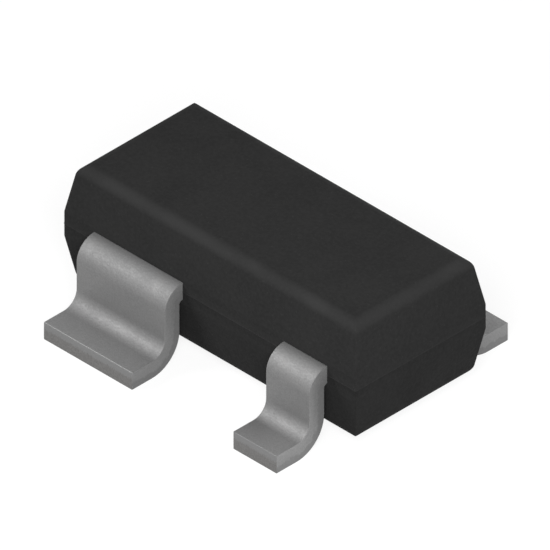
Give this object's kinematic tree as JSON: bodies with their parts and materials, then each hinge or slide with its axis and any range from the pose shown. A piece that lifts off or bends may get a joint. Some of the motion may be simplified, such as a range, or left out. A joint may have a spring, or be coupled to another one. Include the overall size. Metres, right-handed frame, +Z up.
{
  "type": "rf mosfet",
  "caption": "Tiny surface-mount radio-frequency transistor: black moulded block with gull-wing leads, one of them wide, and a wire-bonded die inside.",
  "frame": {"origin": "on the board plane, under the middle of the package", "axes": "+Z up from the board, +X along the package towards the drain lead's end, +Y across it from the source and drain leads to the gate leads"},
  "size_m": [0.0028, 0.0024, 0.0011],
  "materials": {
    "moulding_compound": "fine matte, black filled epoxy",
    "tin_plated_lead": "matte tin over a stamped iron-nickel or copper alloy strip",
    "silver_adhesive": "cured silver-filled adhesive",
    "silicon": "polished dark grey with sawn sides",
    "die_metal": "bright vapour-deposited film",
    "gold_wire": "bright drawn gold"
  },
  "bodies": {
    "root": {"moulded_body": "moulding_compound", "source_lead": "tin_plated_lead", "drain_lead": "tin_plated_lead", "gate_1_lead": "tin_plated_lead", "gate_2_lead": "tin_plated_lead", "die_attach": "silver_adhesive", "transistor_die": "silicon", "source_metal": "die_metal", "drain_metal": "die_metal", "gate_1_metal": "die_metal", "gate_2_metal": "die_metal", "drain_wire": "gold_wire", "gate_1_wire": "gold_wire", "gate_2_wire": "gold_wire", "source_wire_left": "gold_wire", "source_wire_right": "gold_wire"}
  },
  "joints": []
}
